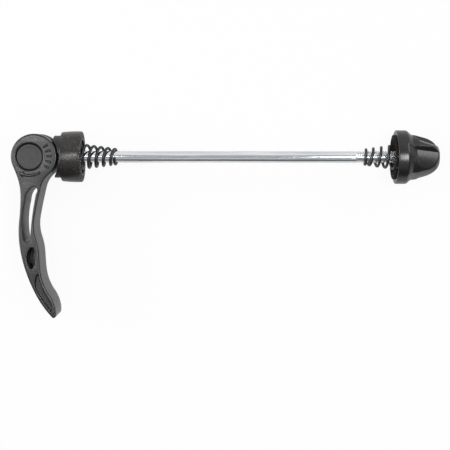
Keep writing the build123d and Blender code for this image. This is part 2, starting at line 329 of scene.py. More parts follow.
@dataclass(frozen=True)
class Finish:
    """A surface: its material and how it was made, as colours, gloss and relief with their real sizes."""

    name: str
    colour: str
    second: str  # the colour that the patches drift to
    patch_mm: float  # size of the patches
    gloss: Pair  # roughness, from the smoothest spots to the dullest
    grain_mm: float  # size of the relief's grain
    relief_mm: float  # its height
    metallic: float = 0.0
    specular: float = 0.5  # the shader's specular level, lower on a porous surface
    along: float = 1.0  # how many times longer than wide the grain is, along X
    # fine specks: real pale dust on the cap, painted glints on the insert
    speck: str | None = None  # colour of fine specks
    speck_mm: float = 0.7  # their size

    def material(self) -> bpy.types.Material:
        """Makes the material, or finds it where it is made already.

        Returns:
            The material, whose patterns read Object coordinates in metres.
        """
        if self.name in bpy.data.materials:
            return bpy.data.materials[self.name]
        made = bpy.data.materials.new(self.name)
        tree = empty_tree(made)
        place = add_node(tree, "ShaderNodeTexCoord").outputs["Object"]
        stretch = (1 / self.along, 1, 1)
        drawn = add_node(tree, "ShaderNodeMapping", {"Scale": stretch}, {"Vector": place}).outputs["Vector"]
        patches = add_node(
            tree, "ShaderNodeTexNoise",
            {"Scale": 1 / (self.patch_mm * MM), "Detail": 3.0, "Roughness": 0.6}, {"Vector": drawn},
        ).outputs["Fac"]
        grain = add_node(
            tree, "ShaderNodeTexNoise",
            {"Scale": 1 / (self.grain_mm * MM), "Detail": 2.0, "Roughness": 0.55}, {"Vector": drawn},
        ).outputs["Fac"]
        drift = add_node(tree, "ShaderNodeMapRange", PATCH_BAND, {"Value": patches}).outputs["Result"]
        tint = add_node(
            tree, "ShaderNodeMix",
            {"data_type": "RGBA", MIX_A: linear(self.colour), MIX_B: linear(self.second)}, {0: drift},
        ).outputs[MIX_RESULT]
        # Specks: pale dust on the cap's paint, and painted glints on the insert
        if self.speck:
            dust_and_glints = add_node(
                tree, "ShaderNodeTexNoise",
                {"Scale": 1 / (self.speck_mm * MM), "Detail": 1.0}, {"Vector": place},
            ).outputs["Fac"]
            dot = add_node(tree, "ShaderNodeMapRange", SPECK_BAND, {"Value": dust_and_glints}).outputs["Result"]
            tint = add_node(
                tree, "ShaderNodeMix",
                {"data_type": "RGBA", MIX_B: linear(self.speck)}, {0: dot, MIX_A: tint},
            ).outputs[MIX_RESULT]
        dull = add_node(
            tree, "ShaderNodeMapRange",
            {**GLOSS_BAND, "To Min": self.gloss[0], "To Max": self.gloss[1]}, {"Value": grain},
        ).outputs["Result"]
        relief = add_node(
            tree, "ShaderNodeBump",
            {"Strength": 1.0, "Distance": self.relief_mm * MM}, {"Height": grain},
        ).outputs["Normal"]
        shader = add_node(
            tree, "ShaderNodeBsdfPrincipled",
            {"Metallic": self.metallic, "Specular IOR Level": self.specular},
            {"Base Color": tint, "Roughness": dull, "Normal": relief},
        ).outputs["BSDF"]
        add_node(tree, "ShaderNodeOutputMaterial", None, {"Surface": shader})
        return made


# Zinc plate on cold drawn wire: a cool, bright metal with long draw lines along the rod and a soft haze.
ROD_ZINC = Finish(
    "bright_zinc_on_drawn_steel", "#eaecef", "#c2c8cd", 0.7, (0.07, 0.17), 0.16, 0.008,
    metallic=1.0, along=40.0,
)
# Satin black paint on an aluminium casting: charcoal, with the casting's faint waves under it.
LEVER_PAINT = Finish(
    "satin_black_paint_on_cast_aluminium", "#101011", "#171718", 4.0, (0.26, 0.36), 0.60, 0.004,
)
# The same paint on the raised marks, rubbed smooth: clear glints along them.
MARK_PAINT = Finish(
    "rubbed_black_paint_on_cast_aluminium", "#141415", "#1a1a1b", 2.0, (0.20, 0.30), 0.45, 0.004,
)
# Matt black paint on a turned barrel: greyer and grainier than the lever round it.
BARREL_PAINT = Finish(
    "matt_black_paint_on_turned_steel", "#1e1e1f", "#2a2a2b", 0.9, (0.42, 0.60), 0.30, 0.016,
)
# Satin black paint on a pressed steel cap: warm black with fine pale specks from handling.
CAP_PAINT = Finish(
    "satin_black_paint_on_pressed_steel", "#141211", "#1e1a18", 2.2, (0.22, 0.34), 0.35, 0.010,
    speck="#5c5652",
)
# Nylon as moulded: an even black with a dull sheen.
SADDLE_NYLON = Finish(
    "moulded_black_nylon", "#161617", "#1c1c1d", 2.5, (0.42, 0.56), 0.40, 0.008,
)
# Spring wire with black oxide: brown-black and slightly glossy, with drawn lines too fine to show.
SPRING_OXIDE = Finish(
    "black_oxide_spring_wire", "#0f0e0e", "#1a1715", 1.2, (0.26, 0.42), 0.25, 0.004,
)
# Steel insert with black oxide: dull brown-black with lighter patches, and bright specks that are painted
# glints.
CORE_OXIDE = Finish(
    "black_oxide_on_machined_steel", "#0b0908", "#1c1613", 0.9, (0.48, 0.68), 0.25, 0.010,
    specular=0.15, speck="#8a7d70", speck_mm=0.8,
)
# Nylon without colour: milky and slightly warm.
RING_NYLON = Finish(
    "natural_nylon", "#dcd9cf", "#cfccc0", 1.5, (0.40, 0.52), 0.40, 0.005,
)
# ABS from a polished mould: deep black with broad clear reflections and a very faint ripple.
NUT_ABS = Finish(
    "moulded_black_abs", "#0c0c0d", "#121213", 3.0, (0.22, 0.30), 0.60, 0.006,
)


def fit_piece(made: bpy.types.Object, body: str, node: str | None, finish: Finish) -> None:
    """Puts a piece on its body, in place of its CAD node, with its finish.

    Args:
        made: the piece.
        body: the body that it rides on.
        node: the CAD node that it stands for, or None where it is added to one.
        finish: what its surface is.
    """
    made.data.materials.append(finish.material())
    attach(made, body)
    if node:
        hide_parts(node)
    LOG.info("%s rides on %s: %d polygons, %s", made.name, body, len(made.data.polygons), finish.name)


@dataclass
class Rod:
    """The rod: a drawn shank with an M5 thread rolled on at the nut's end, and a barrel at the other."""

    start_x: float = -25.0
    thread_x: float = 114.7
    tip_x: float = 146.5
    shank_radius: float = 2.4
    thread_radius: float = 2.5
    pitch: float = 0.8
    thread_depth: float = 0.42
    flank: Pair = (0.15, 0.85)  # from crest to root, as shares of half a pitch
    run_in: Pair = (-1.0, 0.6)  # where the thread grows to its depth, from thread_x
    close_run: float = 1.2  # how far before thread_x the close rows start
    shank_rows: int = 60
    pitch_rows: int = 10
    columns: int = 48
    tip_chamfer: float = 0.6
    pivot_x: float = PIVOT_X
    barrel_radius: float = 5.4
    barrel_half: float = 8.45
    barrel_round: float = 0.9
    barrel_columns: int = 96
    dish_depth: float = 0.12
    dish_radii: Pair = (3.6, 4.2)  # of its floor and its rim
    dish_rounds: Pair = (0.4, 0.3)

    def rod_surface(self) -> Surface:
        """The rod: radius r(x, a), less a rounded wave of x / pitch - a / turn on the thread.

        Returns:
            The surface, with a pole at each end.
        """
        close_x = self.thread_x - self.close_run
        shank = np.linspace(self.start_x, close_x, self.shank_rows)
        thread = np.arange(close_x, self.tip_x, self.pitch / self.pitch_rows)[1:]
        x = np.concatenate([[self.start_x], shank, thread, [self.tip_x, self.tip_x]])[:, None]
        angles = around(self.columns)
        wave = np.abs(((x / self.pitch - angles / (2 * pi)) % 1) * 2 - 1)
        valley = self.thread_depth * smooth_step(*self.flank, wave)
        rolled = smooth_step(self.thread_x + self.run_in[0], self.thread_x + self.run_in[1], x)
        radius = self.shank_radius + rolled * (self.thread_radius - self.shank_radius - valley)
        radius = np.minimum(radius, self.thread_radius - self.tip_chamfer + (self.tip_x - x))
        radius[[0, -1]] = 0
        return wrapped(spin(x, radius, angles))

    def barrel_surface(self) -> Surface:
        """The barrel: a rounded (height, radius) profile turned about the pivot, dished at both ends.

        Returns:
            The surface, with a pole at each end.
        """
        half, floor = self.barrel_half, self.barrel_half - self.dish_depth
        (inner, outer), (foot, rim) = self.dish_radii, self.dish_rounds
        near = [(floor, 0.0, 0.0), (floor, inner, foot), (half, outer, rim)]
        near += [(half, self.barrel_radius, self.barrel_round)]
        far = [(-height, radius, cut) for height, radius, cut in near]
        grid = turn(soft_corners(far + near[::-1]), around(self.barrel_columns))
        return wrapped(np.stack([grid[..., 1] + self.pivot_x, grid[..., 2], grid[..., 0]], axis=-1))

    def dress(self) -> None:
        """Builds the rod and its barrel."""
        fit_piece(self.rod_surface().piece("zinc_rod"), "rod", "skewer_rod", ROD_ZINC)
        barrel = self.barrel_surface().piece("cross_barrel")
        fit_piece(barrel, "rod", "pivot_barrel", BARREL_PAINT)


@dataclass
class CamLever:
    """The cast lever: a round eye with a fork for the rod, and a curved arm with openings."""

    eye_x: float = EYE_X
    pivot_x: float = PIVOT_X
    eye_radius: float = 9.5
    eye_angles: Pair = (-50.0, 203.6)  # where the arm's front and back leave the eye
    eye_steps: int = 200
    arm_length: float = 66.6
    arc_steps: int = 40
    half_width: float = LEVER_HALF
    edge_round: float = 0.75
    opening_round: float = 0.35
    foot_round: float = 0.35
    round_rows: int = 8  # rows of each quarter circle
    rim_spacing: float = 0.3
    opening_spacing: float = 0.25
    opening_steps: int = 60
    corner_passes: int = 6
    bore_radius: float = 5.45
    bore_round: float = 0.8
    bore_steps: tuple[int, int] = (70, 32)  # above and below the fork's floor
    fork_half: float = 3.1
    fork_floor: float = -3.2
    pocket_depth: float = 1.6
    oval_depth: float = 7.6  # from each face, with a web between
    tip_round: float = 1.0
    tip_steps: int = 14
    # Each point is an offset along X from the eye's centre and a share of the arm's length along -Y
    back: Points = field(default_factory=lambda: [
        (-6.9, 0.128), (-5.7, 0.245), (-6.35, 0.390), (-6.4, 0.541), (-4.2, 0.698), (0.1, 0.856),
        (8.0, 1.019),
    ])
    front: Points = field(default_factory=lambda: [
        (2.8, 0.188), (0, 0.383), (0.6, 0.511), (1.85, 0.616), (2.3, 0.713), (5.75, 0.856),
        (8.35, 0.955), (8.0, 1.019),
    ])
    # Every second point is a corner, and the point after it lies on the arc to the next corner
    window: Points = field(default_factory=lambda: [
        (0.3, 0.182), (-2.45, 0.212), (-3.95, 0.275), (-5.15, 0.402), (-4.65, 0.509),
        (-3.3, 0.532), (-1.85, 0.509), (-1.05, 0.383), (0.75, 0.228), (1.2, 0.197),
    ])
    oval: Points = field(default_factory=lambda: [
        (-2.2, 0.575), (-1.15, 0.562), (-0.2, 0.575), (0.55, 0.626), (-0.6, 0.680),
        (-1.5, 0.697), (-2.4, 0.682), (-3.3, 0.628),
    ])
    pocket: Points = field(default_factory=lambda: [
        (1.2, 0.725), (0, 0.772), (0.35, 0.824), (2.9, 0.890), (6.7, 0.968), (7, 0.943),
        (6.3, 0.910), (3.35, 0.829),
    ])

    def on_arm(self, points: Points) -> Array:
        """Points of the arm as X and Y."""
        return np.array(points, dtype=float) * (1, -self.arm_length) + (self.eye_x, 0)

    def arc_chain(self, start: Array, direction: Array, points: Points) -> Array:
        """Arcs through points, each tangent to the last: a chord is at half its arc's angle from the tangent.

        Args:
            start: where the first arc starts.
            direction: its direction there, of unit length.
            points: where the arcs end.

        Returns:
            Points along all arcs, as n by 2.
        """
        parts = [start[None]]
        for end in self.on_arm(points):
            chord = end - start
            length = np.linalg.norm(chord)
            along = chord / length
            half = np.arctan2(direction[0] * along[1] - direction[1] * along[0], direction @ along)
            bend = 2 * np.sin(half) / length
            angle = np.linspace(0, 2 * half, self.arc_steps + 1)[1:, None]
            side = np.array([-direction[1], direction[0]])
            parts.append(start + (np.sin(angle) * direction + (1 - np.cos(angle)) * side) / bend)
            start, direction = end, 2 * (direction @ along) * along - direction
        return np.vstack(parts)

    def arc_loop(self, points: Points) -> Array:
        """A closed outline of arcs through three points: a centre is where the chords' midlines meet.

        Its corners are rounded, as in a casting, by taking the mean of neighbouring points a few times.

        Args:
            points: corners and, after each, a point on the arc to the next corner.

        Returns:
            The outline, counter-clockwise, as n by 2.
        """
        ring = self.on_arm(points)
        first, middle, last = ring[0::2], ring[1::2], np.roll(ring[0::2], -1, axis=0)
        sides = np.stack([middle - first, last - first], axis=1)
        centre = first + np.linalg.solve(2 * sides, (sides**2).sum(axis=2)[..., None])[..., 0]
        angle = [np.arctan2(*(end - centre).T[::-1]) for end in (first, middle, last)]
        sweep = (angle[2] - angle[0]) % (2 * pi)
        sweep = np.where((angle[1] - angle[0]) % (2 * pi) < sweep, sweep, sweep - 2 * pi)
        t = angle[0][:, None] + sweep[:, None] * np.linspace(0, 1, self.opening_steps)[None, :-1]
        radius = np.linalg.norm(first - centre, axis=1)[:, None, None]
        loop = (centre[:, None] + radius * np.stack([np.cos(t), np.sin(t)], axis=-1)).reshape(-1, 2)
        area = np.sum(loop[:, 0] * np.roll(loop[:, 1], -1) - loop[:, 1] * np.roll(loop[:, 0], -1))
        loop = spread(loop if area > 0 else loop[::-1], self.opening_spacing)
        for _ in range(self.corner_passes):
            loop = (np.roll(loop, 1, axis=0) + 2 * loop + np.roll(loop, -1, axis=0)) / 4
        return loop

    def outline(self) -> Array:
        """The lever's outline: the eye's arc, the back, the rounded tip and the front, counter-clockwise.

        The tip is a rational parabola between the two sides, which makes it an arc of a circle.

        Returns:
            The outline, with a point exactly where it passes the fork's floor, as n by 2.
        """
        low, high = radians(self.eye_angles[0]), radians(self.eye_angles[1])
        centre = np.array([self.eye_x, 0.0])
        angle = np.linspace(low, high, self.eye_steps)
        eye = centre + self.eye_radius * np.stack([np.cos(angle), np.sin(angle)], axis=1)
        back = self.arc_chain(eye[-1], np.array([-sin(high), cos(high)]), self.back)
        front = self.arc_chain(eye[0], np.array([sin(low), -cos(low)]), self.front)
        runs = [back[-1] - back[-2], front[-1] - front[-2]]
        opening = acos(runs[0] @ runs[1] / np.linalg.norm(runs[0]) / np.linalg.norm(runs[1])) / 2
        reach = self.tip_round / tan(opening)
        tip = back[-1]
        back, front = (side[np.linalg.norm(side - tip, axis=1) > reach] for side in (back, front))
        t = np.linspace(0, 1, self.tip_steps)[1:-1, None]
        weight = 2 * sin(opening) * t * (1 - t)
        share = (1 - t) ** 2 + weight + t**2
        nose = ((1 - t) ** 2 * back[-1] + weight * tip + t**2 * front[-1]) / share
        loop = spread(np.vstack([eye[:-1], back, nose, front[:0:-1]]), self.rim_spacing)
        step = np.roll(loop, -1, axis=0) - loop
        past = (self.fork_floor - loop[:, 1]) / np.where(step[:, 1] == 0, 1, step[:, 1])
        crossing = np.nonzero((past > 0) & (past < 1))[0]
        return np.insert(loop, crossing + 1, loop[crossing] + past[crossing, None] * step[crossing], axis=0)

    def wall(self, loop: Array, rounding: float, outwards: int, levels: tuple[float, ...] = ()) -> Array:
        """Carries an outline through the lever's width, with a quarter circle at each face.

        Args:
            loop: the outline, counter-clockwise.
            rounding: the quarter circle's radius.
            outwards: -1 where the rounding moves in from the outline, 1 where it moves out, at an opening.
            levels: heights between the roundings where the grid has a row.

        Returns:
            The grid, from the far face to the near face, as rows by n by 3.
        """
        ahead = np.roll(loop, -1, axis=0) - np.roll(loop, 1, axis=0)
        normal = np.stack([ahead[:, 1], -ahead[:, 0]], axis=1) / np.linalg.norm(ahead, axis=1, keepdims=True)
        angle = np.linspace(0, pi / 2, self.round_rows)
        shift, height = rounding * (1 - np.cos(angle)), self.half_width - rounding * (1 - np.sin(angle))
        shifts = np.concatenate([shift[::-1], np.zeros(len(levels)), shift])
        heights = np.concatenate([-height[::-1], levels, height])
        flat = loop[None] + outwards * shifts[:, None, None] * normal[None]
        return np.concatenate([flat, np.broadcast_to(heights[:, None, None], (*flat.shape[:2], 1))], axis=2)

    def forked(self, grid: Array, surface: Surface) -> Array:
        """Adds a wall that the fork opens: cells between the fork's sides are left out above its floor.

        Args:
            grid: a wall with the fork's sides as its levels.
            surface: what it is added to.

        Returns:
            A flag for each column, True where it stands on or above the fork's floor.
        """
        above = grid[len(grid) // 2, :, 1] > self.fork_floor - TOUCH
        keep = np.ones((len(grid) - 1, grid.shape[1]), dtype=bool)
        keep[len(grid) // 2 - 1] = ~(above & np.roll(above, -1))
        surface.grid(grid, closed=True, keep=keep)
        return above

    def recess(self, surface: Surface, side: Face, points: Points, depth: float) -> Array:
        """Adds a recess on one face: a rounded rim, an upright wall, a rounded foot and a flat floor.

        Args:
            surface: what it is added to.
            side: the face.
            points: the recess's outline.
            depth: how far its floor lies below the face.

        Returns:
            The rim's loop on the face, as n by 3.
        """
        loop = self.arc_loop(points)
        rim = self.wall(loop, self.opening_round, 1)[self.round_rows:][::-1]
        foot = self.wall(loop, self.foot_round, -1)[self.round_rows:]
        foot[..., 2] = 2 * self.half_width - depth - foot[..., 2]
        grid = np.concatenate([rim, foot]) * (1, 1, side.value)
        surface.grid(grid, closed=True)
        surface.fill(grid[-1])
        return grid[0]

    def bore_loop(self) -> Array:
        """The circle of the barrel's hole, with points exactly on the fork's floor.

        Returns:
            The circle, counter-clockwise, as n by 2.
        """
        high = np.arcsin(self.fork_floor / self.bore_radius)
        stops = ((high, pi - high), (pi - high, 2 * pi + high))
        parts = [np.linspace(*ends, steps)[:-1] for ends, steps in zip(stops, self.bore_steps)]
        angle = np.concatenate(parts)
        x, y = self.bore_radius * np.cos(angle), self.bore_radius * np.sin(angle)
        return np.stack([self.pivot_x + x, y], axis=1)

    def surface(self) -> Surface:
        """The whole lever: its walls and openings, and the flat faces and fork sides filled between them.

        Returns:
            The surface.
        """
        made = Surface()
        levels = (-self.fork_half, self.fork_half)
        rim = self.wall(self.outline(), self.edge_round, -1, levels)
        bore = self.wall(self.bore_loop(), self.bore_round, 1, levels)
        above = [self.forked(grid, made) for grid in (rim, bore)]
        window = self.wall(self.arc_loop(self.window), self.opening_round, 1)
        made.grid(window, closed=True)
        hollows = ((self.oval, self.oval_depth), (self.pocket, self.pocket_depth))
        for side, row in ((Face.NEAR, -1), (Face.FAR, 0)):
            recesses = [self.recess(made, side, points, depth) for points, depth in hollows]
            made.fill(rim[row], bore[row], window[row], *recesses)
        middle = len(rim) // 2
        for row in (middle - 1, middle):
            made.fill(np.vstack([rim[row][above[0]], bore[row][above[1]][::-1]]))
        ends = [grid[middle - 1:middle + 1][:, flags][:, [0, -1]] for grid, flags in zip((rim, bore), above)]
        for end in (0, 1):
            made.grid(np.stack([ends[0][:, end], ends[1][:, end]], axis=1))
        return made

    def dress(self) -> None:
        """Builds the lever."""
        fit_piece(self.surface().piece("cast_lever"), "lever", "lever", LEVER_PAINT)


@dataclass
class EyeMarks:
    """Raised marks on the lever's eye: an arrow that shows its turn, and plain ticks along the hole."""

    pivot_x: float = PIVOT_X
    face_z: float = LEVER_HALF
    height: float = 0.7  # of the half round section
    sink: float = 0.05  # how deep its edges lie in the face
    slope_share: float = 0.08  # part of a mark's length over which its end slopes
    rows: int = 11
    arrow_radius: float = 7.65
    arrow_start: float = -52.0
    arrow_sweep: float = 78.0
    arrow_columns: int = 60
    shaft_half: float = 0.6
    head_half: float = 1.4
    head_share: float = 0.28  # part of the arrow's length
    point_half: float = 0.02
    tick_angles: tuple[float, ...] = (34.0, 18.0, 2.0, -14.0, -30.0)
    tick_width: float = 7.0  # in degrees
    tick_radius: float = 6.75  # of its inner end
    tick_length: float = 2.5
    tick_columns: int = 16

    def surface(self) -> Surface:
        """The marks: patches in polar coordinates round the pivot, whose width is the arrow's or a tick's.

        Returns:
            The surface.
        """
        made = Surface()
        across = np.sin(np.linspace(-pi / 2, pi / 2, self.rows))[:, None]
        t = np.linspace(0, 1, self.arrow_columns)[None, :]
        head = self.head_half * (1 - t) / self.head_share + self.point_half
        half = np.where(t < 1 - self.head_share, self.shaft_half, head)
        sweep = radians(self.arrow_start) - t * radians(self.arrow_sweep)
        made.grid(self.raised(self.arrow_radius + across * half, sweep, across, t))
        t = np.linspace(0, 1, self.tick_columns)[None, :]
        for start in self.tick_angles:
            angle = radians(start) + across * radians(self.tick_width) / 2
            made.grid(self.raised(self.tick_radius + t * self.tick_length, angle, across, t))
        return made

    def raised(self, radius: Array, angle: Array, across: Array, along: Array) -> Array:
        """A patch's points: its height is a half circle across, which falls off at both ends.

        Args:
            radius: distances from the pivot.
            angle: angles round it, in radians.
            across: places across the mark, from -1 to 1.
            along: places along it, from 0 to 1.

        Returns:
            The grid, as rows by columns by 3.
        """
        ends = smooth_step(0.0, self.slope_share, np.minimum(along, 1 - along))
        dome = np.sqrt(np.clip(1 - across**2, 0, None)) * ends
        height = self.face_z - self.sink + self.height * dome
        return np.stack([self.pivot_x + radius * np.cos(angle), radius * np.sin(angle), height], axis=-1)

    def dress(self) -> None:
        """Builds the marks."""
        fit_piece(self.surface().piece("lever_marks", 60.0), "lever", None, MARK_PAINT)


@dataclass
class ClampingCap:
    """The cap that presses on the frame, and the seat in its back that the cam rides on."""

    length: float = 8.7
    front_radius: float = 10.65
    back_radius: float = 10.25
    straight_x: float = -1.8  # the side tapers from here backwards
    taper_steps: int = 8
    taper_round: float = 0.3
    back_round: float = 0.9
    rim_round: float = 2.0
    recess_radius: float = 7.2
    recess_depth: float = 3.0
    recess_rounds: Pair = (0.25, 0.4)  # at its rim and its foot
    hole_radius: float = 2.65
    grooves: int = 44
    groove_depth: float = 0.4
    plain_ring: float = 0.45  # width of the face inside the grooves
    socket_radius: float = 7.05
    socket_depth: float = 3.0
    socket_round: float = 0.15
    eye_x: float = EYE_X
    seat_radius: float = 9.85
    seat_travel: float = 1.85
    seat_reach: float = 0.05  # what is left of the seat's radius where it ends
    saddle_radius: float = 8.8
    saddle_height: float = 3.2
    saddle_round: float = 0.5
    saddle_rows: tuple[int, int] = (26, 7)  # inside its rounded edge and on it
    saddle_columns: int = 144
    edge_angle: float = 0.15  # of the rounded edge's first row, in radians
    horn_blend: float = 0.5
    notch_y: Pair = (1.2, 1.6)
    notch_z: Pair = (7.6, 7.9)
    notch_depth: float = 0.6
    notch_rise: Pair = (2.2, 1.0)  # behind the cap, where the notch fades in
    cap_gap: float = 0.02
    spigot_radius: float = 7.0
    spigot_x: float = -5.7
    spigot_chamfer: float = 0.1

    def cap_surface(self) -> Surface:
        """The cap: a rounded profile turned about the rod, with V grooves from a plain ring to the rim.

        Returns:
            The surface.
        """
        back, floor = -self.length, -self.recess_depth
        socket = back + self.socket_depth
        rim, foot = self.recess_rounds
        t = np.linspace(1, 0, self.taper_steps + 1)[1:]
        taper = self.front_radius - (self.front_radius - self.back_radius) * t**2
        side = zip(self.straight_x + (back - self.straight_x) * t, taper)
        ring = np.linspace(self.recess_radius + rim, self.front_radius - self.rim_round, FACE_ROWS)
        profile = soft_corners([
            (back, self.socket_radius, self.socket_round), (back, self.back_radius, self.back_round),
            *((x, radius, self.taper_round) for x, radius in side), (0, self.front_radius, self.rim_round),
            *((0, radius, ROW_CUT) for radius in ring[::-1]),
            (0, self.recess_radius, rim), (floor, self.recess_radius, foot),
            (floor, self.hole_radius, EDGE_CUT), (socket, self.hole_radius, EDGE_CUT),
            (socket, self.socket_radius, EDGE_CUT),
        ])
        grid = turn(profile, around(self.grooves * GROOVE_COLUMNS))
        inner = self.recess_radius + self.plain_ring
        return wrapped(closed_rows(serrate(grid, 0.0, 1, self.grooves, inner, self.groove_depth)))

    def saddle_surface(self) -> Surface:
        """The seat: a disc whose back follows the cam's cylinder, x = eye + root(R squared - y squared).

        The horns above and below end in a flat, a small notch marks the middle of each, and the front is
        a spigot.

        Returns:
            The surface.
        """
        angles = around(self.saddle_columns)
        edge = self.saddle_radius - self.saddle_round
        bend = np.sin(np.linspace(self.edge_angle, pi / 2, self.saddle_rows[1]))
        disc = np.linspace(self.hole_radius, edge, self.saddle_rows[0])
        radius = np.concatenate([disc, edge + self.saddle_round * bend])[:, None]
        y, z = radius * np.cos(angles), radius * np.sin(angles)
        off = np.abs(y + self.seat_travel / 2) - self.seat_travel / 2
        off = np.clip(off, 0, self.seat_radius - self.seat_reach)
        seat = self.eye_x + np.sqrt(self.seat_radius**2 - off**2)
        back = soft_max(seat, -self.length - self.saddle_height, self.horn_blend)
        notch = (1 - smooth_step(*self.notch_y, np.abs(y))) * smooth_step(*self.notch_z, np.abs(z))
        start, end = (-self.length - rise for rise in self.notch_rise)
        back = back + notch * self.notch_depth * smooth_step(start, end, back)
        rim = np.clip((radius - edge) / self.saddle_round, 0, 1)
        back = back + self.saddle_round * (1 - np.sqrt(1 - rim**2))
        back = np.minimum(back, -self.length - self.cap_gap)
        face = np.stack([back, y, z], axis=-1)
        front, chamfer = self.spigot_x, self.spigot_chamfer
        side = np.array([
            (-self.length, self.saddle_radius), (-self.length, self.spigot_radius),
            (front - chamfer, self.spigot_radius), (front, self.spigot_radius - chamfer),
            (front, self.hole_radius),
        ])
        return wrapped(closed_rows(np.concatenate([face, turn(side, angles)])))

    def dress(self) -> None:
        """Builds the cap and its seat."""
        fit_piece(self.cap_surface().piece("clamping_cap", 30.0), "cap", "lever_cap", CAP_PAINT)
        saddle = self.saddle_surface().piece("nylon_saddle")
        fit_piece(saddle, "cap", "cam_saddle", SADDLE_NYLON)


@dataclass
class ConeSpring:
    """A conical spring of round wire, wound to the left, that stands on its wide end."""

    name: str
    node: str
    body: str
    seat_x: float
    heading: int  # 1 where it runs along +X, -1 where it runs along -X
    length: float
    turns: float
    start: float  # angle of the wire's wide end
    lean: Pair = (0.0, 0.0)  # how far its coils slope along X with Y and with Z
    lean_share: float = 0.25  # part of the length over which the slope grows
    closed: float = 0.55  # turns of the narrow end that lie flat
    closed_blend: float = 0.08
    wire_radius: float = 0.58
    wire_end: float = 0.9  # the rounded ends' radius, as a share of the wire's
    wide_radius: float = 5.3
    narrow_radius: float = 3.1
    turn_rows: int = 56
    columns: int = 14

    def surface(self) -> Surface:
        """A circle carried along a cone's helix: height and radius change evenly up to a flat last coil.

        Returns:
            The surface, with a pole at each end of the wire.
        """
        total = self.turns + self.closed
        turned = np.linspace(0, total, int(total * self.turn_rows))
        angle = radians(self.start) - 2 * pi * turned
        share = soft_min(turned / self.turns, 1.0, self.closed_blend)
        radius = self.wide_radius + (self.narrow_radius - self.wide_radius) * share
        out = np.stack([np.zeros_like(angle), -self.heading * np.sin(angle), np.cos(angle)], axis=1)
        path = radius[:, None] * out
        free = smooth_step(0.0, self.lean_share, share)
        rise = self.wire_radius + (self.length - 2 * self.wire_radius) * share
        path[:, 0] = self.seat_x + self.heading * rise + free * (path[:, 1:] @ np.array(self.lean))
        ahead = np.gradient(path, axis=0)
        ahead /= np.linalg.norm(ahead, axis=1, keepdims=True)
        out -= (out * ahead).sum(axis=1, keepdims=True) * ahead
        out /= np.linalg.norm(out, axis=1, keepdims=True)
        side = np.cross(ahead, out)
        last = len(path) - 1
        rows = np.r_[0, 0, np.arange(len(path)), last, last]
        end = self.wire_end * self.wire_radius
        size = np.r_[0, end, np.full(len(path), self.wire_radius), end, 0]
        angles = around(self.columns)[None, :, None]
        ring = np.cos(angles) * out[rows, None] + np.sin(angles) * side[rows, None]
        return wrapped(path[rows, None] + size[:, None, None] * ring)

    def dress(self) -> None:
        """Builds the spring."""
        fit_piece(self.surface().piece(self.name, 50.0), self.body, self.node, SPRING_OXIDE)


